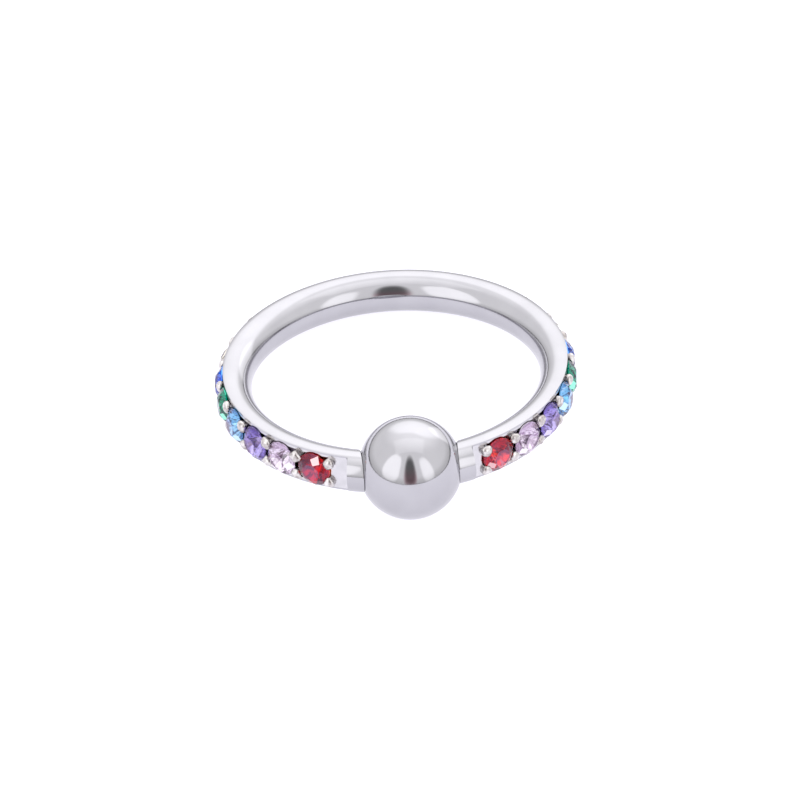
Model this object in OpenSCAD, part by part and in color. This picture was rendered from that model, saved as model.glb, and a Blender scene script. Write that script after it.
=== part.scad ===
// Captive bead ring: a wire hoop whose two ends hold a ball bead, with a row of small round stones
// along its outer side. Millimetres, +Z up, lying at rest on the plane z = 0.
// The hoop is drawn flat around its own axis, with the bead towards -Y, and is then tipped until it
// rests on the bead and on the far side of the wire.

/* [Hoop] */
// Diameter of the wire
wire_d = 1.63; // [1.45:0.01:2.2]
// Clear diameter inside the hoop
inside_d = 11.1; // [10.8:0.1:16]
// Plain wire left between each tip and the milled band, along the wire
bare_end = 0.68; // [0.3:0.01:1.5]
// Radius of the dome that ends the wire
dome_r = 1.6; // [1.2:0.05:2.4]

/* [Bead] */
// Diameter of the bead
bead_d = 4; // [3.4:0.1:6]
// Depth to which a tip reaches into the bead
tip_depth = 0.38; // [0.2:0.02:0.4]
// Running clearance between a tip and its dimple
tip_clearance = 0.03; // [0.02:0.01:0.06]

/* [Milled band] */
// Depth of the flat that is milled off the wire's outer side
flat_depth = 0.54; // [0.4:0.01:0.6]
// Depth of the channel that frees the prongs, below the flat
channel_depth = 0.1; // [0.08:0.01:0.25]
// Width of the rail of flat left on either side of the channel
rail_w = 0.1; // [0.03:0.01:0.12]
// Flat left between the band's end and the prongs that end the row, along the wire
flat_end = 0.63; // [0.4:0.01:1]

/* [Stones] */
// Diameter of a stone
stone_d = 1.38; // [1.1:0.02:1.38]
// Height of a stone's girdle above the flat
girdle_lift = 0.08; // [0.05:0.01:0.2]
// Thickness of the girdle
girdle_t = 0.04; // [0.02:0.01:0.06]
// Height of the crown above the girdle
crown_h = 0.22; // [0.15:0.01:0.26]
// Depth of the pavilion below the girdle
pavilion_h = 0.54; // [0.45:0.01:0.6]
// Diameter of the table
table_d = 0.7; // [0.6:0.01:0.85]
// Gap between a stone and its seat
seat_gap = 0.03; // [0.02:0.01:0.05]
// Angle by which the whole row is turned round the hoop, so that it starts nearer the bead on the right
row_shift = 1.2; // [0:0.2:2]
// Distance by which the whole row lies below the wire's middle
row_drop = 0.08; // [0:0.01:0.08]

/* [Prongs] */
// Diameter of a prong's bead-shaped head
head_d = 0.48; // [0.42:0.01:0.6]
// Diameter of a prong's shank
shank_d = 0.4; // [0.3:0.01:0.42]
// Height of a head's middle above the flat
head_lift = 0.11; // [0.05:0.01:0.2]
// Distance of a prong from the row's middle line
prong_offset = 0.41; // [0.36:0.01:0.45]
// Distance along the wire from an end stone to the prongs that end the row
end_prong_step = 0.66; // [0.6:0.01:0.8]
// Distance along the wire from those prongs to the start of the channel
channel_lead = 0.1; // [0:0.01:0.3]

/* [Hidden] */
stone_count = 24;
$fn = 96;

// Radii of the hoop, measured from its own axis, and half the widths of the flat and of the channel
wire_r = wire_d / 2;
hoop_r = (inside_d + wire_d) / 2;
outer_r = hoop_r + wire_r;
flat_r = outer_r - flat_depth;
channel_r = flat_r - channel_depth;
flat_half = sqrt(wire_r * wire_r - (wire_r - flat_depth) * (wire_r - flat_depth));
channel_half = flat_half - rail_w;
girdle_r = flat_r + girdle_lift;
head_centre_r = flat_r + head_lift;

// The bead hangs on the chord between the wire's tips
bead_r = bead_d / 2;
tip_x = bead_r - tip_depth;
bead_reach = sqrt(hoop_r * hoop_r - tip_x * tip_x);
dome_x = tip_x + dome_r;

// Angles round the hoop, measured from the bead
full_turn = 360;
bead_angle = 270;
tip_angle = asin(tip_x / hoop_r);
band_start = tip_angle + arc_angle(bare_end, hoop_r);
end_prong_angle = band_start + arc_angle(flat_end, girdle_r);
channel_start = end_prong_angle + arc_angle(channel_lead, girdle_r);
first_stone = end_prong_angle + arc_angle(end_prong_step, girdle_r);
pitch = (full_turn - 2 * first_stone) / (stone_count - 1);

// The wire is drawn from a point inside the bead's place, and is then cut back to its dome
wire_start = asin((tip_x - wire_r) / hoop_r);

// A stone's radii and its seat
stone_r = stone_d / 2;
table_r = table_d / 2;
seat_r = stone_r + seat_gap;
seat_depth = pavilion_h * seat_r / stone_r;

// Facets of a round brilliant, as shares of its radius and of its crown
mains = 8;
girdle_sides = 2 * mains;
star_share = 0.55;
lower_share = 0.22;

// The hoop tips back until the bead and the wire's far side touch the surface together
head_r = head_d / 2;
tilt = asin((bead_r - wire_r) / (hoop_r + bead_reach));
hoop_h = wire_r + hoop_r * sin(tilt);
front_reach = bead_reach * cos(tilt) + bead_r;
back_reach = head_centre_r * cos(row_shift) * cos(tilt) + (prong_offset - row_drop) * sin(tilt) + head_r;
centre_y = (front_reach - back_reach) / 2;

// A cut runs past what it cuts by this much
over = 1;

// Colours of the metal and of the stones, counted from either end of the row
steel = [0.80, 0.79, 0.82];
stone_colours = [
    [0.75, 0.12, 0.10], [0.84, 0.70, 0.86], [0.40, 0.32, 0.72], [0.35, 0.66, 0.92],
    [0.00, 0.45, 0.33], [0.12, 0.34, 0.86], [0.90, 0.88, 0.76]];

// Angle that a length along a circle takes up
function arc_angle(arc, radius) = arc / radius * 180 / PI;

// Direction of stone number i, and of the prong pair that follows prong place i
function stone_angle(i) = bead_angle - row_shift + first_stone + (i - 1) * pitch;
function prong_angle(i) = i == 0 ? bead_angle - row_shift + end_prong_angle
    : i == stone_count ? bead_angle - row_shift - end_prong_angle + full_turn
    : stone_angle(i + 0.5);

// Colour of stone number i: the row mirrors itself on either side of the bead
function from_end(i) = min(i - 1, stone_count - i);
function stone_colour(i) = stone_colours[from_end(i) % len(stone_colours)];

// Point at a radius, an angle and a height
function at(radius, angle, height) = [radius * cos(angle), radius * sin(angle), height];

// Tips the flat hoop into the place where it rests
module at_rest() {
    translate([0, centre_y, hoop_h]) rotate([-tilt, 0, 0]) children();
}

// Turns what is drawn upward from the origin to face outward at an angle and a radius of the hoop
module outward(angle, radius, height = 0) {
    rotate([0, 0, angle]) translate([radius, 0, height]) rotate([0, 90, 0]) children();
}

// A stretch of the wire between two angles
module wire(from, to) {
    rotate([0, 0, from]) rotate_extrude(angle = to - from) translate([hoop_r, 0]) circle(wire_r);
}

// A block that clears the hoop outside a radius, between two angles and two heights
module clear_outside(radius, half_height, from, to) {
    rotate([0, 0, from]) rotate_extrude(angle = to - from)
        translate([radius, -half_height]) square([outer_r + over - radius, 2 * half_height]);
}

// What is cut off the wire's end at +X, so that a dome is left to sit in the bead's dimple
module beyond_tip() {
    difference() {
        translate([tip_x - wire_d, -bead_reach - wire_d, -wire_d])
            cube([wire_d + wire_r, 2 * wire_d, 2 * wire_d]);
        translate([dome_x, -bead_reach, 0]) sphere(dome_r);
    }
}

// The whole wire, from tip to tip
module bare_wire() {
    difference() {
        wire(bead_angle + wire_start, bead_angle + full_turn - wire_start);
        beyond_tip();
        mirror([1, 0, 0]) beyond_tip();
    }
}

// A prong: a round shank with a bead-shaped head
module prong() {
    foot_r = channel_r - channel_depth;
    cylinder(h = head_centre_r - foot_r, r = shank_d / 2);
    translate([0, 0, head_centre_r - foot_r]) sphere(head_r);
}

// The pairs of prongs between the stones and at both ends of the row
module prongs() {
    foot_r = channel_r - channel_depth;
    for (i = [0:stone_count]) for (side = [-1, 1])
        outward(prong_angle(i), foot_r, side * prong_offset - row_drop) prong();
}

// The hollow that a stone sits in, drawn around the stone's own axis from its girdle
module seat() {
    rotate_extrude() polygon([
        [0, -girdle_t / 2 - seat_depth],
        [seat_r, -girdle_t / 2],
        [seat_r, girdle_t / 2],
        [table_r + seat_gap, girdle_t / 2 + crown_h],
        [0, girdle_t / 2 + crown_h]]);
}

// A round brilliant around its own axis, from its girdle
module brilliant() {
    step = full_turn / mains;
    table_z = girdle_t / 2 + crown_h;
    culet_z = -girdle_t / 2 - pavilion_h;
    star_r = table_r * cos(step / 2) + star_share * (stone_r - table_r * cos(step / 2));
    star_z = girdle_t / 2 + crown_h * (stone_r - star_r * cos(step / 2)) / (stone_r - table_r);
    lower_r = lower_share * stone_r;
    lower_z = culet_z + pavilion_h * lower_share * cos(step / 2);
    points = concat(
        [for (i = [0:mains - 1]) at(table_r, i * step, table_z)],
        [for (i = [0:mains - 1]) at(star_r, (i + 0.5) * step, star_z)],
        [for (i = [0:girdle_sides - 1]) at(stone_r, i * step / 2, girdle_t / 2)],
        [for (i = [0:girdle_sides - 1]) at(stone_r, i * step / 2, -girdle_t / 2)],
        [for (i = [0:mains - 1]) at(lower_r, (i + 0.5) * step, lower_z)],
        [[0, 0, culet_z]]);
    table = 0;
    star = mains;
    upper = 2 * mains;
    under = upper + girdle_sides;
    lower = under + girdle_sides;
    culet = lower + mains;
    faces = concat(
        [[for (i = [0:mains - 1]) table + mains - 1 - i]],
        [for (i = [0:mains - 1]) [table + i, table + (i + 1) % mains, star + i]],
        [for (i = [0:mains - 1]) [table + i, star + i, upper + 2 * i]],
        [for (i = [0:mains - 1]) [table + i, upper + 2 * i, star + (i + mains - 1) % mains]],
        [for (i = [0:mains - 1]) [star + i, upper + 2 * i + 1, upper + 2 * i]],
        [for (i = [0:mains - 1]) [star + i, upper + (2 * i + 2) % girdle_sides, upper + 2 * i + 1]],
        [for (i = [0:girdle_sides - 1]) [upper + i, upper + (i + 1) % girdle_sides, under + i]],
        [for (i = [0:girdle_sides - 1])
            [under + i, upper + (i + 1) % girdle_sides, under + (i + 1) % girdle_sides]],
        [for (i = [0:mains - 1]) [under + 2 * i, under + 2 * i + 1, lower + i]],
        [for (i = [0:mains - 1]) [under + 2 * i + 1, under + (2 * i + 2) % girdle_sides, lower + i]],
        [for (i = [0:mains - 1]) [under + 2 * i, lower + i, culet]],
        [for (i = [0:mains - 1]) [under + 2 * i, culet, lower + (i + mains - 1) % mains]]);
    polyhedron(points = points, faces = faces);
}

// The hoop: wire, milled band, channel, prongs and seats in one solid
module ring() {
    color(steel) at_rest() difference() {
        union() {
            difference() {
                bare_wire();
                clear_outside(flat_r, wire_d,
                    bead_angle + band_start, bead_angle + full_turn - band_start);
                clear_outside(channel_r, channel_half,
                    bead_angle - row_shift + channel_start,
                    bead_angle - row_shift + full_turn - channel_start);
            }
            prongs();
        }
        for (i = [1:stone_count]) outward(stone_angle(i), girdle_r, -row_drop) seat();
    }
}

// Half of the ball's outline, with its turning axis along Y and a dimple at either end of it
module bead_outline() {
    difference() {
        intersection() {
            circle(bead_r);
            translate([0, -bead_r]) square([bead_r, bead_d]);
        }
        for (side = [-1, 1]) translate([0, side * dome_x]) circle(dome_r + tip_clearance);
    }
}

// The ball, turned around the line between the wire's ends
module bead() {
    color(steel) at_rest() translate([0, -bead_reach, 0]) rotate([0, 90, 0])
        rotate_extrude() bead_outline();
}

// Stone number i of the row
module stone(i) {
    color(stone_colour(i)) at_rest() outward(stone_angle(i), girdle_r, -row_drop) brilliant();
}

ring();
bead();
stone(1);  // stone_01
stone(2);  // stone_02
stone(3);  // stone_03
stone(4);  // stone_04
stone(5);  // stone_05
stone(6);  // stone_06
stone(7);  // stone_07
stone(8);  // stone_08
stone(9);  // stone_09
stone(10);  // stone_10
stone(11);  // stone_11
stone(12);  // stone_12
stone(13);  // stone_13
stone(14);  // stone_14
stone(15);  // stone_15
stone(16);  // stone_16
stone(17);  // stone_17
stone(18);  // stone_18
stone(19);  // stone_19
stone(20);  // stone_20
stone(21);  // stone_21
stone(22);  // stone_22
stone(23);  // stone_23
stone(24);  // stone_24
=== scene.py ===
"""Looks of the captive bead ring: a polished wire hoop, its band of prong-set stones, and its ball."""
import math
import random

import bmesh
import bpy
import numpy as np
from mathutils import Matrix, Vector


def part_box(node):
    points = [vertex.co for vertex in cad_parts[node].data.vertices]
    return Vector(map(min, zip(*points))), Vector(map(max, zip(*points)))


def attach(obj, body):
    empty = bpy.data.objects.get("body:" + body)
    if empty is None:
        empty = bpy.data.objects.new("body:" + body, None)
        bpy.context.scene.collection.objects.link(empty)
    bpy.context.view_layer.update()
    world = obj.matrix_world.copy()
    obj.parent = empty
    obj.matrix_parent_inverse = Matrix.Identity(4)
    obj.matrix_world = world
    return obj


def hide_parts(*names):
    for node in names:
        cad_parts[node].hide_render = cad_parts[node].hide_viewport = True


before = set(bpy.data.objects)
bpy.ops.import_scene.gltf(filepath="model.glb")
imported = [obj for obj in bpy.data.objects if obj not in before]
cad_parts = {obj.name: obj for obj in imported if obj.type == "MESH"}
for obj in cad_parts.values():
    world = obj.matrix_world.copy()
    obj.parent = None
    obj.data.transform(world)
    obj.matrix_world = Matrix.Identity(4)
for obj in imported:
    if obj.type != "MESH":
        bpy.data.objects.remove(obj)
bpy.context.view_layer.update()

# Lengths are in millimetres and angles in degrees, as in the part's source
MM = 0.001
FULL_TURN = 360

# Hoop
WIRE_D = 1.63
INSIDE_D = 11.1
BARE_END = 0.68
DOME_R = 1.6
RIM_FILLET = 0.035

# Ball
BEAD_D = 4.0
TIP_DEPTH = 0.38
TIP_CLEARANCE = 0.03
DIMPLE_RIM = 0.015

# Milled band, with the run and the rise of the step at its ends, the rounding of its flat's and its seats'
# edges, and the insets from the channel's edge between which its side rises
FLAT_DEPTH = 0.54
CHANNEL_DEPTH = 0.1
RAIL_W = 0.16
FLAT_END = 0.63
WALL_RUN = 0.05
WALL_RISE = 1.5 * FLAT_DEPTH
FLAT_ROUND = 0.012
SEAT_ROUND = 0.02
CHANNEL_SIDE = (0.010, 0.002)

# Stones, in a row that is turned round the hoop and dropped a little below the wire's middle
STONE_COUNT = 24
STONE_D = 1.4
GIRDLE_LIFT = 0.03
GIRDLE_T = 0.04
CROWN_H = 0.27
PAVILION_H = 0.54
TABLE_D = 0.7
SEAT_GAP = 0.03
ROW_SHIFT = 1.2
ROW_DROP = 0.05

# Prongs, of which the first pair stands a little nearer its stone
HEAD_D = 0.48
SHANK_D = 0.4
HEAD_LIFT = 0.11
PRONG_OFFSET = 0.41
END_PRONG_STEP = 0.66
CHANNEL_LEAD = 0.1
FIRST_PAIR_SHIFT = 0.08
PRONG_GAP = 0.012

# Derived sizes
WIRE_R = WIRE_D / 2
HOOP_R = (INSIDE_D + WIRE_D) / 2
OUTER_R = HOOP_R + WIRE_R
FLAT_R = OUTER_R - FLAT_DEPTH
CHANNEL_R = FLAT_R - CHANNEL_DEPTH
GIRDLE_R = FLAT_R + GIRDLE_LIFT
HEAD_CENTRE_R = FLAT_R + HEAD_LIFT
FLAT_HALF = math.sqrt(WIRE_R ** 2 - (FLAT_R - HOOP_R) ** 2)
CHANNEL_HALF = FLAT_HALF - RAIL_W
STONE_R = STONE_D / 2
TABLE_R = TABLE_D / 2
SEAT_R = STONE_R + SEAT_GAP
SEAT_DEPTH = PAVILION_H * SEAT_R / STONE_R
BEAD_R = BEAD_D / 2
TIP_X = BEAD_R - TIP_DEPTH
DOME_X = TIP_X + DOME_R
BEAD_REACH = math.sqrt(HOOP_R ** 2 - TIP_X ** 2)


def arc_angle(arc, radius):
    """Angle that a length along a circle takes up."""
    return math.degrees(arc / radius)


# Angles round the hoop are measured from the ball, and grow to the right of it
TIP_ANGLE = math.degrees(math.asin(TIP_X / HOOP_R))
BAND_START = TIP_ANGLE + arc_angle(BARE_END, HOOP_R)
END_PRONG_ANGLE = BAND_START + arc_angle(FLAT_END, GIRDLE_R)
CHANNEL_START = END_PRONG_ANGLE + arc_angle(CHANNEL_LEAD, GIRDLE_R)
FIRST_STONE = END_PRONG_ANGLE + arc_angle(END_PRONG_STEP, GIRDLE_R)
PITCH = (FULL_TURN - 2 * FIRST_STONE) / (STONE_COUNT - 1)

# The hoop lies tipped back, on the ball and on the far side of the wire
TILT = math.asin((BEAD_R - WIRE_R) / (HOOP_R + BEAD_REACH))
HOOP_H = WIRE_R + HOOP_R * math.sin(TILT)
BALL_LOW, BALL_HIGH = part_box("bead")
CENTRE_Y = (BALL_LOW.y + BALL_HIGH.y) / 2 / MM + BEAD_REACH * math.cos(TILT)
AT_REST = Matrix.Translation((0, CENTRE_Y, HOOP_H)) @ Matrix.Rotation(-TILT, 4, "X")

# Camera, as a view of the hoop's own plane
VIEW_AZIMUTH = 266.8
VIEW_ELEVATION = 33.25
VIEW_ROLL = 3.45
VIEW_DISTANCE = 530
FRAME_PIXELS = 800
PIXELS_PER_MM = 26
CENTRE_PIXEL = (396, 379.8)
SENSOR = 36

# In metres
CLIP_RANGE = (0.01, 10)

STONE_SLOTS = ["red", "pink", "violet", "aqua", "green", "blue", "champagne"]


def stone_angle(i):
    """Angle of stone number i, counted from 1."""
    return FIRST_STONE - ROW_SHIFT + (i - 1) * PITCH


def prong_angle(i):
    """Angle of prong pair number i, counted from 0, which follows stone number i."""
    if i == 0:
        return END_PRONG_ANGLE - ROW_SHIFT + arc_angle(FIRST_PAIR_SHIFT, GIRDLE_R)
    if i == STONE_COUNT:
        return FULL_TURN - END_PRONG_ANGLE - ROW_SHIFT
    return stone_angle(i + 0.5)


def on_hoop(angle, radius, height):
    """Points of the hoop's own frame, as an array of rows, from arrays of angles, radii and heights."""
    turn = np.radians(angle)
    return np.stack([radius * np.sin(turn), -radius * np.cos(turn), height + 0 * turn], axis=-1)


def hoop_axes(angle):
    """Directions outward from the hoop and forward along it, at an angle round it."""
    turn = math.radians(angle)
    return np.array([math.sin(turn), -math.cos(turn), 0]), np.array([math.cos(turn), math.sin(turn), 0])


def placed(points):
    """Rows of points from the hoop's own frame, in millimetres, to the resting place, in metres."""
    rotation = np.array(AT_REST.to_3x3())
    return (points @ rotation.T + np.array(AT_REST.translation)) * MM


def smooth_step(low, high, value):
    t = np.clip((value - low) / (high - low), 0, 1)
    return t * t * (3 - 2 * t)


def soft_min(a, b, width):
    """The lower of two heights, rounded where they cross."""
    h = np.clip(0.5 + 0.5 * (b - a) / width, 0, 1)
    return b + (a - b) * h - width * h * (1 - h)


def mesh_object(name, points, faces):
    mesh = bpy.data.meshes.new(name)
    mesh.from_pydata([tuple(p) for p in points], [], faces)
    mesh.validate()
    made = bpy.data.objects.new(name, mesh)
    bpy.context.scene.collection.objects.link(made)
    return made


def shade_smooth(piece, sharp_angle):
    piece.data.shade_smooth()
    piece.data.set_sharp_from_angle(angle=math.radians(sharp_angle))


def face_outward(piece):
    """Turns the normals of a closed mesh outward."""
    shell = bmesh.new()
    shell.from_mesh(piece.data)
    bmesh.ops.recalc_face_normals(shell, faces=shell.faces)
    shell.to_mesh(piece.data)
    shell.free()


def tube_faces(rows, columns):
    """Quads of a closed tube of rows by columns points, with a fan point before and after them."""
    first, last = rows * columns, rows * columns + 1
    faces = []
    for j in range(rows - 1):
        for k in range(columns):
            n = (k + 1) % columns
            faces.append((j * columns + k, (j + 1) * columns + k, (j + 1) * columns + n, j * columns + n))
    for k in range(columns):
        n = (k + 1) % columns
        faces.append((first, k, n))
        faces.append((last, (rows - 1) * columns + n, (rows - 1) * columns + k))
    return faces


# Hoop: a tube of rows round the hoop by stations round the wire, close together where the section turns.
# The rail's stations are distances from the channel's side, and the under side's are angles from the
# flat's edge
TUBE_ROWS = 880
CAP_ROWS = 7
RIM_ROWS = 5
BLEND_ROWS = 14
CHANNEL_STATIONS = 40
RAIL_STATIONS = [0.0, 0.004, 0.010, 0.020, 0.05, 0.09, 0.12, 0.144, 0.152, 0.158]
UNDER_STATIONS = [0.0, 0.6, 1.6, 3.6, 7.0]
UNDER_STEP = 8.0
CHANNEL_INSET = 0.012
RAIL_INSET = 0.004

# Passes that settle where the seats and the tips' domes meet the wire, and in degrees, how far a seat is
# worked out past half the pitch and how far the rows keep from the tips
SEAT_PASSES = 4
DOME_PASSES = 30
SEAT_MARGIN = 1
CAP_MARGIN = 0.4


def section_stations():
    """Angles round the wire from the milled side's lower edge, and how many of them lie on that side."""
    channel_edge = CHANNEL_HALF - CHANNEL_INSET
    channel = np.linspace(-channel_edge, channel_edge, CHANNEL_STATIONS)
    rail = np.array([CHANNEL_HALF - RAIL_INSET + s for s in RAIL_STATIONS])
    across = np.concatenate([-rail[::-1], channel, rail])
    top = np.degrees(np.arcsin(across / WIRE_R))
    edge = math.degrees(math.asin(FLAT_HALF / WIRE_R))
    near = [edge + s for s in UNDER_STATIONS]
    far = [FULL_TURN - s for s in near[::-1]]
    between = int((far[0] - near[-1]) / UNDER_STEP)
    under = np.concatenate([near, np.linspace(near[-1], far[0], between + 1)[1:-1], far])
    return np.concatenate([top, under]), len(top)


def milled_height(angle, across):
    """Height of the milled side above the wire's middle line."""
    bare = np.sqrt(WIRE_R ** 2 - across ** 2)
    from_ball = np.abs((angle + FULL_TURN / 2) % FULL_TURN - FULL_TURN / 2)
    along = np.abs((angle + ROW_SHIFT + FULL_TURN / 2) % FULL_TURN - FULL_TURN / 2)
    wall = 1 - smooth_step(BAND_START - arc_angle(WALL_RUN, FLAT_R), BAND_START, from_ball)
    flat = FLAT_R - HOOP_R + wall * WALL_RISE
    end = smooth_step(CHANNEL_START - arc_angle(WALL_RUN, FLAT_R), CHANNEL_START, along)
    side_start, side_end = [CHANNEL_HALF - inset for inset in CHANNEL_SIDE]
    side = 1 - smooth_step(side_start, side_end, np.abs(across))
    height = soft_min(bare, flat, FLAT_ROUND) - CHANNEL_DEPTH * end * side
    for i in range(1, STONE_COUNT + 1):
        off = angle - stone_angle(i)
        near = np.abs(off) < PITCH / 2 + SEAT_MARGIN
        radius = HOOP_R + height[near]
        # The seat's cone leans with the stone, so a few passes find where it meets each line outward
        for _ in range(SEAT_PASSES):
            u = radius * np.sin(np.radians(off[near]))
            reach = np.sqrt(u ** 2 + (across[near] + ROW_DROP) ** 2)
            cone = GIRDLE_R - GIRDLE_T / 2 - SEAT_DEPTH * (1 - reach / SEAT_R)
            radius = cone / np.cos(np.radians(off[near]))
        height[near] = soft_min(height[near], radius - HOOP_R, SEAT_ROUND)
    return height


def cap_points(stations, depth, tube_r):
    """Points a depth below the dome of the tip at +X, on a tube of one radius round the wire's middle."""
    turn = np.radians(stations)
    out, height = HOOP_R + tube_r * np.cos(turn), tube_r * np.sin(turn)
    x = np.full(len(turn), TIP_X)
    # Each of x and y follows from the other, so repeated passes settle both
    for _ in range(DOME_PASSES):
        y = -np.sqrt(out ** 2 - x ** 2)
        x = DOME_X - np.sqrt((DOME_R - depth) ** 2 - (y + BEAD_REACH) ** 2 - height ** 2)
    return np.stack([x, -np.sqrt(out ** 2 - x ** 2), height], axis=-1)


def tip_rings(stations):
    """Rings from the middle of the dome out over its rounded rim, at the tip at +X."""
    corner = math.acos(WIRE_R / DOME_R)
    rings = []
    for j in range(1, CAP_ROWS + 1):
        rings.append(cap_points(stations, 0, (WIRE_R - RIM_FILLET) * j / CAP_ROWS))
    for j in range(1, RIM_ROWS + 1):
        turn = corner * j / RIM_ROWS
        depth = RIM_FILLET * (1 - math.cos(turn))
        tube_r = WIRE_R - RIM_FILLET * (1 - math.cos(corner - turn))
        rings.append(cap_points(stations, depth, tube_r))
    return rings


def hoop_tube():
    """Points and faces of the whole wire with its band, without the prongs."""
    stations, top_count = section_stations()
    start = tip_rings(stations)
    border = np.degrees(np.arctan2(start[-1][:, 0], -start[-1][:, 1]))
    first = border.max() + CAP_MARGIN
    rows = np.linspace(first, FULL_TURN - first, TUBE_ROWS)
    fade = np.arange(1, BLEND_ROWS + 1) / (BLEND_ROWS + 1)
    angle = np.repeat(rows[:, None], len(stations), axis=1)
    for j, share in enumerate(fade):
        angle[j] = border + (rows[BLEND_ROWS] - border) * share
        angle[-1 - j] = FULL_TURN - angle[j]
    turn = np.radians(stations)
    height = np.repeat((WIRE_R * np.sin(turn))[None], TUBE_ROWS, axis=0)
    out = np.repeat((WIRE_R * np.cos(turn))[None], TUBE_ROWS, axis=0)
    out[:, :top_count] = milled_height(angle[:, :top_count], height[:, :top_count])
    tube = on_hoop(angle, HOOP_R + out, height)
    mirror = np.array([-1, 1, 1])
    rings = start + list(tube) + [ring * mirror for ring in start[::-1]]
    middle = np.array([TIP_X, -BEAD_REACH, 0])
    points = np.concatenate(rings + [middle[None], (middle * mirror)[None]])
    return points, tube_faces(len(rings), len(stations))


# Angles past which an edge stays sharp
HOOP_SHARP = 40
BALL_SHARP = 50

# Prongs: round shanks with bead-shaped heads, pressed away where a stone sits. The lower ones are smaller
# and sit deeper. Each is a little uneven: its size, height, place and lean stray by chance, and a few waves
# round it, each with its own count of bumps, swell its outline
PRONG_SIDES = 18
HEAD_ROWS = 9
HEAD_FLATNESS = 0.72
LOWER_SIZE = 0.9
LOWER_SINK = 0.04
SIZE_STRAY = 0.05
LIFT_STRAY = 0.015
LEAN_STRAY = 0.02
LEAN_LIMIT = 1.5
STEP_STRAY = 0.02
OFFSET_STRAY = (-0.01, 0.015)
LOBES = 3
LOBE_COUNT = (2, 4)
LOBE_SWELL = (0.03, 0.07)
PRONG_SEED = 11
NEAR_ZERO = 1e-6


def seat_limit(height, gap):
    """Radius that a stone and a gap round it take up at heights above the girdle's middle."""
    seat_r = STONE_R + gap
    depth = PAVILION_H * seat_r / STONE_R
    below = seat_r * (1 + (height + GIRDLE_T / 2) / depth)
    above = seat_r - (height - GIRDLE_T / 2) / CROWN_H * (seat_r - TABLE_R - gap)
    limit = np.minimum(np.minimum(below, above), seat_r)
    return np.where(height > GIRDLE_T / 2 + CROWN_H, 0, np.maximum(limit, 0))


def prong_shape(side, draw):
    """Points and faces of one prong along +Z, with its height measured from the wire's middle line."""
    size = 1.0 if side > 0 else LOWER_SIZE
    head_r = HEAD_D / 2 * size * draw.uniform(1 - SIZE_STRAY, 1 + SIZE_STRAY)
    shank_r = SHANK_D / 2
    foot = CHANNEL_R - CHANNEL_DEPTH - HOOP_R
    sink = 0 if side > 0 else LOWER_SINK
    centre = HEAD_CENTRE_R - HOOP_R + draw.uniform(-LIFT_STRAY, LIFT_STRAY) - sink
    neck = math.asin(shank_r / head_r)
    turns = np.linspace(math.pi - neck, 0, HEAD_ROWS + 1)[:-1]
    rise = head_r * HEAD_FLATNESS
    head = [(head_r * math.sin(t), centre + rise * math.cos(t)) for t in turns]
    profile = [(shank_r, foot)] + head
    spin = np.arange(PRONG_SIDES) * 2 * math.pi / PRONG_SIDES
    rings = [np.stack([r * np.cos(spin), r * np.sin(spin), np.full(PRONG_SIDES, h)], -1)
             for r, h in profile]
    ends = np.array([[0, 0, foot], [0, 0, centre + rise]])
    local = np.concatenate(rings + [ends])
    lobes = [(draw.randint(*LOBE_COUNT), draw.uniform(0, 2 * math.pi), draw.uniform(*LOBE_SWELL))
             for _ in range(LOBES)]
    turns_at = np.arctan2(local[:, 1], local[:, 0])
    swell = sum(height * np.sin(count * turns_at + phase) for count, phase, height in lobes)
    local[:, :2] *= (1 + swell)[:, None]
    lean = np.clip((local[:, 2:] - foot) / (centre - foot), 0, LEAN_LIMIT)
    local[:, :2] += lean * np.array([draw.uniform(-LEAN_STRAY, LEAN_STRAY) for _ in range(2)])
    return local, tube_faces(len(profile), PRONG_SIDES)


def prong_mesh(pair, side, draw):
    """Points and faces of one prong in the hoop's own frame."""
    local, faces = prong_shape(side, draw)
    angle = prong_angle(pair) + arc_angle(draw.uniform(-STEP_STRAY, STEP_STRAY), GIRDLE_R)
    offset = side * (PRONG_OFFSET + draw.uniform(*OFFSET_STRAY)) - ROW_DROP
    outward, forward = hoop_axes(angle)
    up = np.array([0, 0, 1])
    points = (HOOP_R + local[:, 2:]) * outward + local[:, :1] * forward + (offset + local[:, 1:2]) * up
    for i in (pair, pair + 1):
        if 1 <= i <= STONE_COUNT:
            points = clear_of_stone(points, i)
    return points, faces


def clear_of_stone(points, i):
    """Pushes points that lie in the room of stone number i out to its side."""
    outward, forward = hoop_axes(stone_angle(i))
    height = points @ outward - GIRDLE_R
    u = points @ forward
    up = points[:, 2] + ROW_DROP
    reach = np.maximum(np.hypot(u, up), NEAR_ZERO)
    grow = np.maximum(seat_limit(height, PRONG_GAP) / reach, 1)
    moved = points + ((grow - 1) * u)[:, None] * forward
    moved[:, 2] = up * grow - ROW_DROP
    return moved


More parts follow.
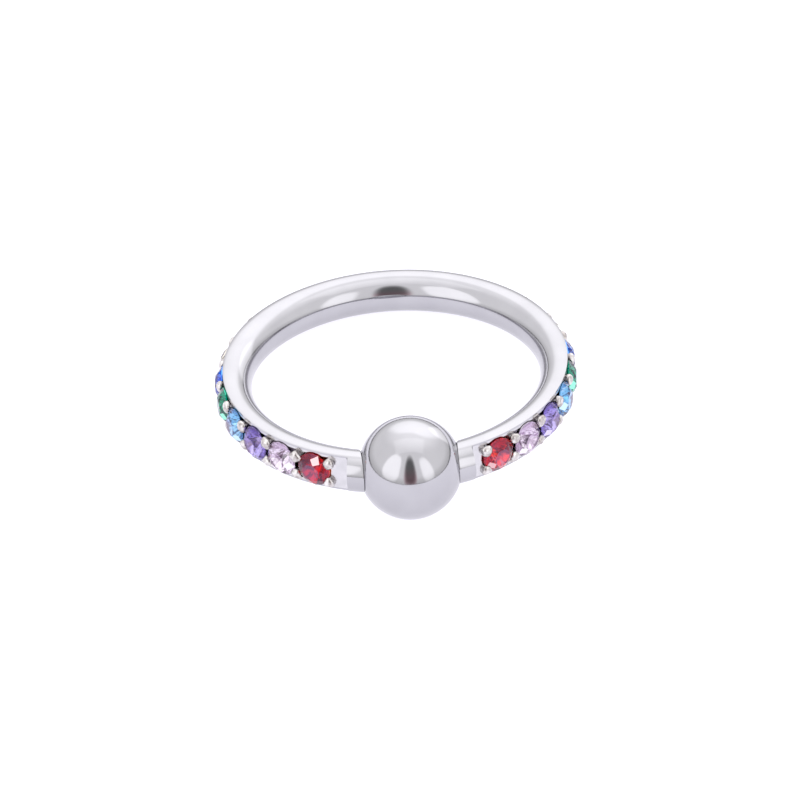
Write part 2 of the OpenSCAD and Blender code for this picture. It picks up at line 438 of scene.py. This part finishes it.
def make_hoop():
    """The wire and its prongs, joined into one shell in millimetres and then scaled to metres."""
    tube, faces = hoop_tube()
    hoop = mesh_object("wire_hoop", placed(tube) / MM, faces)
    draw = random.Random(PRONG_SEED)
    points, faces = [], []
    for pair in range(STONE_COUNT + 1):
        for side in (-1, 1):
            made, quads = prong_mesh(pair, side, draw)
            base = sum(len(p) for p in points)
            points.append(made)
            faces += [tuple(base + v for v in f) for f in quads]
    prongs = mesh_object("prongs", placed(np.concatenate(points)) / MM, faces)
    for piece in (hoop, prongs):
        face_outward(piece)
    union = hoop.modifiers.new("union", "BOOLEAN")
    union.operation = "UNION"
    union.solver = "MANIFOLD"
    union.object = prongs
    bpy.context.view_layer.update()
    solid = bpy.data.meshes.new_from_object(hoop.evaluated_get(bpy.context.evaluated_depsgraph_get()))
    hoop.modifiers.clear()
    hoop.data = solid
    bpy.data.objects.remove(prongs)
    solid.transform(Matrix.Scale(MM, 4))
    shade_smooth(hoop, HOOP_SHARP)
    return hoop


# How far below the flat the recess starts, how far past a prong's head, as a factor, and off the flat a
# face may lie and still take their steel, how far above a prong's foot its steel starts, and the share of
# the wire's radius, from its middle out, where nothing is recess
RECESS_DROP = 0.05
PRONG_MARGIN = 1.18
FLAT_MARGIN = 0.03
FOOT_MARGIN = 0.02
POLISHED_SHARE = 0.3

# Places of the other steels in the hoop's list of materials, after the polished one. Their tones are
# painted light and shade on copies of the same steel
RECESS_PAINTED_LIGHT, PRONG_PAINTED_SHADE, MILLED_PAINTED_LIGHT = 1, 2, 3


def sort_faces(hoop):
    """Gives the channel with the seats, the prongs and the flat each a steel of its own, whose tones are
    painted light and shade.
    """
    count = len(hoop.data.polygons)
    centres = np.empty(3 * count)
    hoop.data.polygons.foreach_get("center", centres)
    back = AT_REST.inverted()
    local = centres.reshape(-1, 3) / MM @ np.array(back.to_3x3()).T + np.array(back.translation)
    radius = np.hypot(local[:, 0], local[:, 1])
    along = np.degrees(np.abs(np.arctan2(local[:, 0], -local[:, 1])))
    deep = (radius < FLAT_R - RECESS_DROP) & (radius > CHANNEL_R - SEAT_DEPTH)
    inside = (np.abs(local[:, 2]) < CHANNEL_HALF + RAIL_W / 2) & (along > BAND_START)
    outer = radius > HOOP_R + POLISHED_SHARE * WIRE_R
    # Recess faces take a lighter steel, painted light that lifts the shade in the channel and seats
    index = np.where(deep & inside & outer, RECESS_PAINTED_LIGHT, 0).astype(np.int32)
    # The flat takes a lighter steel, painted light on the flats
    index[inside & (np.abs(radius - FLAT_R) < FLAT_MARGIN)] = MILLED_PAINTED_LIGHT
    turn = np.degrees(np.arctan2(local[:, 0], -local[:, 1])) % FULL_TURN
    # Prong faces take a steel with painted shade and painted reflections of the stones
    for pair in range(STONE_COUNT + 1):
        off = (turn - prong_angle(pair) + FULL_TURN / 2) % FULL_TURN - FULL_TURN / 2
        u = radius * np.sin(np.radians(off))
        for side in (-1, 1):
            reach = np.hypot(u, local[:, 2] + ROW_DROP - side * PRONG_OFFSET)
            near = (reach < HEAD_D / 2 * PRONG_MARGIN) & (np.abs(off) < PITCH / 2)
            foot = CHANNEL_R if 0 < pair < STONE_COUNT else FLAT_R
            index[near & (radius > foot + FOOT_MARGIN)] = PRONG_PAINTED_SHADE
    hoop.data.polygons.foreach_set("material_index", index)


# Ball: an outline turned round the line between the wire's tips
BALL_SIDES = 128
BALL_ROWS = 64
DIMPLE_ROWS = 8
DIMPLE_SHARE = 0.97


def make_ball():
    """The ball with its two dimples, turned round the line between the wire's tips."""
    dimple_r = DOME_R + TIP_CLEARANCE
    rim_x = (BEAD_R ** 2 - dimple_r ** 2 + DOME_X ** 2) / (2 * DOME_X)
    rim = math.acos(rim_x / BEAD_R)
    rim_turn = math.asin(BEAD_R * math.sin(rim) / dimple_r)
    dimple = [(DOME_X - dimple_r * math.cos(t), dimple_r * math.sin(t))
              for t in np.linspace(0, rim_turn * DIMPLE_SHARE, DIMPLE_ROWS + 1)[1:]]
    skin_start = rim + DIMPLE_RIM / BEAD_R
    skin = [(BEAD_R * math.cos(t), BEAD_R * math.sin(t))
            for t in np.linspace(skin_start, math.pi - skin_start, BALL_ROWS)]
    profile = dimple + skin + [(-x, r) for x, r in dimple[::-1]]
    spin = np.arange(BALL_SIDES) * 2 * math.pi / BALL_SIDES
    rings = [np.stack([np.full(BALL_SIDES, x), r * np.sin(spin), r * np.cos(spin)], -1) for x, r in profile]
    ends = np.array([[TIP_X - TIP_CLEARANCE, 0, 0], [TIP_CLEARANCE - TIP_X, 0, 0]])
    points = np.concatenate(rings + [ends]) + np.array([0, -BEAD_REACH, 0])
    ball = mesh_object("ball", placed(points), tube_faces(len(profile), BALL_SIDES))
    face_outward(ball)
    shade_smooth(ball, BALL_SHARP)
    return ball


# Stones: round brilliants with planar facets
MAINS = 8
GIRDLE_SIDES = 2 * MAINS
STAR_SHARE = 0.55
LOWER_SHARE = 0.22


def ring_of(count, radius, height, shift=0.0):
    turn = (np.arange(count) + shift) * 2 * math.pi / count
    return np.stack([radius * np.cos(turn), radius * np.sin(turn), np.full(count, height)], -1)


def brilliant():
    """Points and facets round the stone's own axis, from its girdle, and each facet's kind and sector."""
    half = math.pi / MAINS
    table_z = GIRDLE_T / 2 + CROWN_H
    culet_z = -GIRDLE_T / 2 - PAVILION_H
    star_r = TABLE_R * math.cos(half) + STAR_SHARE * (STONE_R - TABLE_R * math.cos(half))
    star_z = GIRDLE_T / 2 + CROWN_H * (STONE_R - star_r * math.cos(half)) / (STONE_R - TABLE_R)
    lower_z = culet_z + PAVILION_H * LOWER_SHARE * math.cos(half)
    points = np.concatenate([
        ring_of(MAINS, TABLE_R, table_z), ring_of(MAINS, star_r, star_z, 0.5),
        ring_of(GIRDLE_SIDES, STONE_R, GIRDLE_T / 2), ring_of(GIRDLE_SIDES, STONE_R, -GIRDLE_T / 2),
        ring_of(MAINS, LOWER_SHARE * STONE_R, lower_z, 0.5), [[0, 0, culet_z]]])
    star, upper = MAINS, 2 * MAINS
    under = upper + GIRDLE_SIDES
    lower = under + GIRDLE_SIDES
    culet = lower + MAINS
    facets, kinds, sectors = [tuple(range(MAINS))], ["table"], [0]
    for i in range(MAINS):
        n, p = (i + 1) % MAINS, (i - 1) % MAINS
        g = [2 * i, 2 * i + 1, (2 * i + 2) % GIRDLE_SIDES]
        facets.append((i, star + i, n))
        facets.append((i, star + p, upper + g[0], star + i))
        facets.append((star + i, upper + g[0], upper + g[1]))
        facets.append((star + i, upper + g[1], upper + g[2]))
        facets.append((under + g[0], lower + i, under + g[1]))
        facets.append((under + g[1], lower + i, under + g[2]))
        facets.append((under + g[0], lower + p, culet, lower + i))
        kinds += ["star", "main", "rim", "rim", "lower", "lower", "lower"]
        sectors += 7 * [i]
    for i in range(GIRDLE_SIDES):
        n = (i + 1) % GIRDLE_SIDES
        facets.append((upper + i, under + i, under + n, upper + n))
        kinds.append("girdle")
        sectors.append(i // 2)
    return points, facets, kinds, sectors


# Material of each kind of facet, where the crown's is 0, and the painted light and shade of the facets
# under the crown, from
# 0 for painted shade, by way of the body's colour and a painted light, to 1 for a painted glint. They swing
# round a middle tone from a painted shaded side of the stone to a painted lit side, and stray by chance.
# One facet of the crown takes a painted glint too
PART_OF_KIND = {"lower": 1, "girdle": 1, "table": 2}
MIDDLE_TONE = 0.45
PAINTED_SHADE_SWING = 0.26
TONE_STRAY = 0.07
PAINTED_LOWER_GLINTS = 2
PAINTED_LOWER_GLINT_TONE = 1.0
PAINTED_CROWN_GLINT_TONE = 0.95
STONE_SEED = 5


def make_stone(i, draw):
    """Stone number i in its seat, turned round its own axis by chance, with painted light and shade as a
    tone for each facet.
    """
    points, facets, kinds, sectors = brilliant()
    outward, forward = hoop_axes(stone_angle(i))
    up = np.array([0, 0, 1])
    spin = draw.uniform(0, 2 * math.pi / MAINS)
    c, s = math.cos(spin), math.sin(spin)
    x, y = points[:, 0] * c - points[:, 1] * s, points[:, 0] * s + points[:, 1] * c
    local = (GIRDLE_R + points[:, 2:]) * outward + x[:, None] * forward + (y[:, None] - ROW_DROP) * up
    stone = mesh_object("brilliant_%02d" % i, placed(local), facets)
    face_outward(stone)
    tones = stone.data.attributes.new("facet", "FLOAT", "FACE")
    # Painted light and shade: one side of the stone painted lit and the other painted shaded, tones that
    # stray by chance, and painted glints on two lower facets and one facet of the crown
    painted_lit_side = draw.uniform(0, 2 * math.pi)
    values = [MIDDLE_TONE + PAINTED_SHADE_SWING * math.cos(2 * math.pi * k / MAINS - painted_lit_side)
              + draw.uniform(-TONE_STRAY, TONE_STRAY) for k in sectors]
    for place in draw.sample([j for j, kind in enumerate(kinds) if kind == "lower"], PAINTED_LOWER_GLINTS):
        values[place] = PAINTED_LOWER_GLINT_TONE
    painted_glint = draw.choice([j for j, kind in enumerate(kinds) if kind == "main"])
    values[painted_glint] = PAINTED_CROWN_GLINT_TONE
    tones.data.foreach_set("value", values)
    # The crown facet with the painted glint takes the pavilion's material
    parts = [PART_OF_KIND.get(kind, 0) for kind in kinds]
    parts[painted_glint] = PART_OF_KIND["lower"]
    stone.data.polygons.foreach_set("material_index", parts)
    return stone


# Materials. The steel's clouds have a depth of detail, and a range of noise over which their tone changes
CLOUD_DETAIL = 3
CLOUD_RANGE = (0.3, 0.7)


def new_material(name):
    material = bpy.data.materials.new(name)
    material.use_nodes = True
    return material, material.node_tree.nodes, material.node_tree.links


def steel_material(name, scale, dark, light, roughness):
    """Steel whose tone and gloss vary in clouds: scale per metre, two tones and a range of roughness."""
    material, nodes, links = new_material(name)
    shader = nodes["Principled BSDF"]
    shader.inputs["Metallic"].default_value = 1.0
    place = nodes.new("ShaderNodeTexCoord")
    cloud = nodes.new("ShaderNodeTexNoise")
    cloud.inputs["Scale"].default_value = scale
    cloud.inputs["Detail"].default_value = CLOUD_DETAIL
    links.new(place.outputs["Object"], cloud.inputs["Vector"])
    tone = nodes.new("ShaderNodeValToRGB")
    for element, position, colour in zip(tone.color_ramp.elements, CLOUD_RANGE, (dark, light)):
        element.position = position
        element.color = (*colour, 1)
    links.new(cloud.outputs["Fac"], tone.inputs["Fac"])
    links.new(tone.outputs["Color"], shader.inputs["Base Color"])
    gloss = nodes.new("ShaderNodeMapRange")
    gloss.inputs["To Min"].default_value, gloss.inputs["To Max"].default_value = roughness
    links.new(cloud.outputs["Fac"], gloss.inputs["Value"])
    links.new(gloss.outputs["Result"], shader.inputs["Roughness"])
    return material


# Each colour's painted shade in its dark facets, its body colour, its painted light in its bright facets
# and its painted glints, and the facet values that these stand for
STONE_TINTS_AND_PAINTED_LIGHT = {
    "red": [(0.12, 0.0, 0.01), (0.54, 0.015, 0.02), (1.0, 0.20, 0.07), (0.64, 0.50, 0.55)],
    "pink": [(0.56, 0.46, 0.58), (0.76, 0.67, 0.79), (0.88, 0.82, 0.90), (0.82, 0.78, 0.84)],
    "violet": [(0.12, 0.09, 0.30), (0.36, 0.30, 0.66), (0.66, 0.60, 0.92), (0.68, 0.62, 0.88)],
    "aqua": [(0.03, 0.11, 0.28), (0.14, 0.36, 0.64), (0.36, 0.68, 0.90), (0.60, 0.77, 0.92)],
    "green": [(0.0, 0.07, 0.045), (0.0, 0.24, 0.15), (0.08, 0.60, 0.40), (0.36, 0.86, 0.66)],
    "blue": [(0.0, 0.03, 0.20), (0.02, 0.15, 0.66), (0.16, 0.42, 0.92), (0.42, 0.60, 0.98)],
    "champagne": [(0.45, 0.40, 0.28), (0.80, 0.76, 0.62), (0.92, 0.89, 0.80), (0.92, 0.90, 0.86)]}
STONE_STOPS = [0.0, 0.45, 0.75, 1.0]

# How faintly crown and table take the body's colour, their refractive indices, the tint of their gloss, and
# the roughness of the facets under them
CROWN_CLEAR = 0.35
CROWN_BEND = 1.6
TABLE_BEND = 2.1
CROWN_GLOSS_TINT = (0.95, 0.6, 1.0, 1)
PAVILION_ROUGHNESS = 0.16


def crown_material(part, name, bend):
    """Clear tinted table or crown of a stone, with its refractive index."""
    material, nodes, _ = new_material(part + "_" + name)
    shader = nodes["Principled BSDF"]
    body = STONE_TINTS_AND_PAINTED_LIGHT[name][1]
    shader.inputs["Base Color"].default_value = (*[c ** CROWN_CLEAR for c in body], 1)
    shader.inputs["Roughness"].default_value = 0.0
    shader.inputs["IOR"].default_value = bend
    shader.inputs["Specular Tint"].default_value = CROWN_GLOSS_TINT
    shader.inputs["Transmission Weight"].default_value = 1.0
    return material


def pavilion_material(name):
    """Facets under a stone, which throw the light back in its colour, with painted light, shade and glints
    in their tones.
    """
    material, nodes, links = new_material("pavilion_" + name)
    shader = nodes["Principled BSDF"]
    facet = nodes.new("ShaderNodeAttribute")
    facet.attribute_name = "facet"
    tone = nodes.new("ShaderNodeValToRGB")
    # A ramp from painted shade, by way of the body colour and painted light, to painted glints
    for stop in STONE_STOPS[1:-1]:
        tone.color_ramp.elements.new(stop)
    for element, stop, tint in zip(tone.color_ramp.elements, STONE_STOPS, STONE_TINTS_AND_PAINTED_LIGHT[name]):
        element.position = stop
        element.color = (*tint, 1)
    links.new(facet.outputs["Fac"], tone.inputs["Fac"])
    links.new(tone.outputs["Color"], shader.inputs["Base Color"])
    shader.inputs["Metallic"].default_value = 1.0
    shader.inputs["Roughness"].default_value = PAVILION_ROUGHNESS
    return material


# Camera
def make_camera():
    """Sets the camera, and gives the direction back from it in the resting frame."""
    azimuth, elevation = math.radians(VIEW_AZIMUTH), math.radians(VIEW_ELEVATION)
    back = Vector((math.cos(elevation) * math.cos(azimuth), math.cos(elevation) * math.sin(azimuth),
                   math.sin(elevation)))
    flat_right = Vector((-math.sin(azimuth), math.cos(azimuth), 0))
    flat_up = back.cross(flat_right)
    roll = math.radians(VIEW_ROLL)
    right = math.cos(roll) * flat_right - math.sin(roll) * flat_up
    up = math.sin(roll) * flat_right + math.cos(roll) * flat_up
    turn = AT_REST.to_3x3()
    right, up, back = turn @ right, turn @ up, turn @ back
    off_x = (CENTRE_PIXEL[0] - FRAME_PIXELS / 2) / PIXELS_PER_MM
    off_y = (FRAME_PIXELS / 2 - CENTRE_PIXEL[1]) / PIXELS_PER_MM
    place = AT_REST.translation - right * off_x - up * off_y + back * VIEW_DISTANCE
    data = bpy.data.cameras.new("camera")
    data.sensor_width = SENSOR
    data.lens = SENSOR * VIEW_DISTANCE * PIXELS_PER_MM / FRAME_PIXELS
    data.clip_start, data.clip_end = CLIP_RANGE
    camera = bpy.data.objects.new("camera", data)
    camera.matrix_world = Matrix.Translation(place * MM) @ Matrix((right, up, back)).transposed().to_4x4()
    bpy.context.scene.collection.objects.link(camera)
    bpy.context.scene.camera = camera
    return back


view_back = make_camera()

steel = steel_material("polished_steel", 900, (0.435, 0.43, 0.452), (0.465, 0.46, 0.482), (0.06, 0.13))
# Recess steel: rougher, and lighter than the polished steel, as painted light that lifts the shade in the
# channel and seats
recess_steel_painted_light = steel_material("recess_steel_painted_light", 4000, (0.60, 0.58, 0.58), (0.82, 0.80, 0.80), (0.30, 0.50))
# Prong steel: rougher, with clouds of dark brownish and pale tones that are painted shade and painted
# reflections of the stones
prong_steel_painted_shade_and_reflection = steel_material("prong_steel_painted_shade_and_reflection", 5000, (0.34, 0.30, 0.29), (0.78, 0.76, 0.75), (0.18, 0.36))
# Milled steel: a rougher satin finish, and lighter than the polished steel, as painted light on the flats
milled_steel_painted_light = steel_material("milled_steel_painted_light", 2500, (0.55, 0.545, 0.56), (0.63, 0.62, 0.64), (0.16, 0.28))
stone_materials = {}
for name in STONE_SLOTS:
    stone_materials[name] = [crown_material("crown", name, CROWN_BEND), pavilion_material(name),
                             crown_material("table", name, TABLE_BEND)]

hoop = make_hoop()
hoop.data.materials.clear()
for material in (steel, recess_steel_painted_light, prong_steel_painted_shade_and_reflection, milled_steel_painted_light):
    hoop.data.materials.append(material)
sort_faces(hoop)
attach(hoop, "hoop")
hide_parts("ring")

ball = make_ball()
ball.data.materials.append(steel)
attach(ball, "ball")
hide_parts("bead")

stone_draw = random.Random(STONE_SEED)
for i in range(1, STONE_COUNT + 1):
    stone = make_stone(i, stone_draw)
    colour = STONE_SLOTS[min(i - 1, STONE_COUNT - i) % len(STONE_SLOTS)]
    for material in stone_materials[colour]:
        stone.data.materials.append(material)
    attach(stone, "hoop")
    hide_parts("stone_%02d" % i)


# Floor: half its side in metres, its colour and roughness, and the glow that keeps it near white
FLOOR_HALF = 1.5
FLOOR_COLOUR = (0.34, 0.335, 0.36, 1)
FLOOR_ROUGHNESS = 0.9
FLOOR_GLOW = (0.985, 0.975, 1.05, 1)
FLOOR_GLOW_STRENGTH = 0.86


def make_floor():
    corners = [(-FLOOR_HALF, -FLOOR_HALF, 0), (FLOOR_HALF, -FLOOR_HALF, 0),
               (FLOOR_HALF, FLOOR_HALF, 0), (-FLOOR_HALF, FLOOR_HALF, 0)]
    floor = mesh_object("floor", corners, [(0, 1, 2, 3)])
    material, nodes, _ = new_material("white_floor")
    shader = nodes["Principled BSDF"]
    shader.inputs["Base Color"].default_value = FLOOR_COLOUR
    shader.inputs["Roughness"].default_value = FLOOR_ROUGHNESS
    shader.inputs["Emission Color"].default_value = FLOOR_GLOW
    shader.inputs["Emission Strength"].default_value = FLOOR_GLOW_STRENGTH
    floor.data.materials.append(material)


make_floor()


# Studio: the light that comes from each direction
class Nodes:
    """Builds sums out of nodes, in one tree."""

    def __init__(self, tree):
        self.nodes, self.links = tree.nodes, tree.links

    def plug(self, socket, value):
        if hasattr(value, "is_output"):
            self.links.new(value, socket)
        else:
            socket.default_value = value

    def math(self, operation, a, b=0.0, c=0.0):
        node = self.nodes.new("ShaderNodeMath")
        node.operation = operation
        for socket, value in zip(node.inputs, (a, b, c)):
            self.plug(socket, value)
        return node.outputs[0]

    def dot(self, vector, axis):
        node = self.nodes.new("ShaderNodeVectorMath")
        node.operation = "DOT_PRODUCT"
        self.plug(node.inputs[0], vector)
        node.inputs[1].default_value = axis
        return node.outputs["Value"]

    def step(self, value, low, high, to_low=0.0, to_high=1.0):
        node = self.nodes.new("ShaderNodeMapRange")
        node.interpolation_type = "SMOOTHSTEP"
        for name, number in (("Value", value), ("From Min", low), ("From Max", high),
                             ("To Min", to_low), ("To Max", to_high)):
            self.plug(node.inputs[name], number)
        return node.outputs["Result"]


# Soft lights: azimuth and elevation of the middle, half the width and half the height, all in degrees,
# softness of the edge as a share, and what it adds. Azimuth grows to the camera's right, from its side of
# the room for the two front panels, and from the side that it faces for the window and the doorway
FRONT_LIGHTS = [(-49, 31, 21, 27, 0.15, 0.66), (41, 26, 13, 24, 0.3, 0.62)]
BACK_LIGHTS = [(12, 38, 40, 20, 0.25, 0.42), (40, 10, 12, 18, 0.3, 0.55)]

# The power that squares off these ovals, and how far their soft edges run outside and inside
OVAL_POWER = 3.0
OVAL_OUTSIDE = 3
OVAL_INSIDE = 2

# The dark gap between the front panels, placed as a light is, how much it takes away, and the elevations,
# from high to low, between which its tint comes in
CAMERA_GAP = (-1, 30, 13, 30, 0.4)
GAP_DEPTH = 0.85
GAP_TINT_RISE = (45, 5)

# Smooth changes: where each starts and ends, as a part of a unit direction, and what it goes from and to.
# The walls' light follows the direction's height. The ceiling glows round an axis, given as azimuth and
# elevation. The dark line's width and light follow how far the direction points to the front, and it fades
# from a share of that width to all of it, where the light is full
WALL_LIGHT = (0.05, 0.32, 0.95, 1.3)
SKY_AXIS = (165, 57)
SKY_GLOW = (0.6, 1.0, 0.0, 0.42)
LINE_WIDTH = (0.3, -0.5, 0.03, 0.08)
LINE_LIGHT = (0.3, -0.5, 0.3, 0.12)
LINE_FADE = (0.2, 1.0)

# The ceiling's panel: where its soft edges lie to either side, to front and back, and by height, as parts
# of a unit direction too, and what it adds
PANEL_WIDTH = (0.52, 0.44)
PANEL_DEPTH = (0.31, 0.27)
PANEL_HEIGHT = (0.6, 0.7)
PANEL_GAIN = 0.16

# Tints of the walls, and of what lies behind the gap at the camera
WALL_TINT = (0.99, 0.985, 1.0, 1)
CAMERA_TINT = (1.3, 0.85, 0.95, 1)


def make_studio():
    """Lights the scene from a room that is drawn on the world's sphere."""
    world = bpy.data.worlds.new("studio")
    bpy.context.scene.world = world
    world.use_nodes = True
    n = Nodes(world.node_tree)
    direction = n.nodes.new("ShaderNodeTexCoord").outputs["Generated"]
    front = Vector((view_back.x, view_back.y, 0)).normalized()
    side = Vector((-front.y, front.x, 0))
    height = n.dot(direction, (0, 0, 1))
    to_front = n.dot(direction, front)
    to_right = n.dot(direction, side)
    elevation = n.math("ARCSINE", height)
    from_front = n.math("ARCTAN2", to_right, to_front)
    from_back = n.math("ARCTAN2", to_right, n.math("MULTIPLY", to_front, -1.0))

    def oval(azimuth, middle, rise, half_width, half_rise, soft):
        """1 inside a rounded oblong of directions and 0 outside it, with a soft edge."""
        off_across = n.math("SUBTRACT", azimuth, math.radians(middle))
        off_along = n.math("SUBTRACT", elevation, math.radians(rise))
        across = n.math("DIVIDE", off_across, math.radians(half_width))
        along = n.math("DIVIDE", off_along, math.radians(half_rise))
        square = n.math("ADD", n.math("POWER", n.math("ABSOLUTE", across), OVAL_POWER),
                        n.math("POWER", n.math("ABSOLUTE", along), OVAL_POWER))
        return n.step(square, 1 + soft * OVAL_OUTSIDE, 1 - soft * OVAL_INSIDE)

    # Walls, a ceiling that glows at the back, and the dark line above the floor
    sky_turn, sky_rise = math.radians(SKY_AXIS[0]), math.radians(SKY_AXIS[1])
    sky = math.cos(sky_rise) * (math.cos(sky_turn) * front + math.sin(sky_turn) * side)
    sky.z = math.sin(sky_rise)
    light = n.math("ADD", n.step(height, *WALL_LIGHT), n.step(n.dot(direction, sky), *SKY_GLOW))
    share = n.math("DIVIDE", height, n.step(to_front, *LINE_WIDTH))
    light = n.math("MULTIPLY", light, n.step(share, *LINE_FADE, n.step(to_front, *LINE_LIGHT), 1.0))

    # Panels, window and doorway
    for azimuth, lights in ((from_front, FRONT_LIGHTS), (from_back, BACK_LIGHTS)):
        for *place, gain in lights:
            light = n.math("ADD", light, n.math("MULTIPLY", oval(azimuth, *place), gain))
    across = n.step(n.math("ABSOLUTE", to_right), *PANEL_WIDTH)
    along = n.step(n.math("ABSOLUTE", to_front), *PANEL_DEPTH)
    panel = n.math("MULTIPLY", n.math("MULTIPLY", across, n.step(height, *PANEL_HEIGHT)), along)
    light = n.math("ADD", light, n.math("MULTIPLY", panel, PANEL_GAIN))

    # The gap at the camera darkens and tints what is behind it
    gap = oval(from_front, *CAMERA_GAP)
    light = n.math("MULTIPLY", light, n.math("SUBTRACT", 1.0, n.math("MULTIPLY", gap, GAP_DEPTH)))
    low = n.step(elevation, *[math.radians(rise) for rise in GAP_TINT_RISE])
    background = n.nodes["Background"]
    tint = n.nodes.new("ShaderNodeMix")
    tint.data_type = "RGBA"
    tint.inputs["A"].default_value = WALL_TINT
    tint.inputs["B"].default_value = CAMERA_TINT
    n.links.new(n.math("MULTIPLY", gap, low), tint.inputs["Factor"])
    n.links.new(tint.outputs["Result"], background.inputs["Color"])
    n.links.new(light, background.inputs["Strength"])


make_studio()
bpy.context.scene.view_settings.view_transform = "Standard"
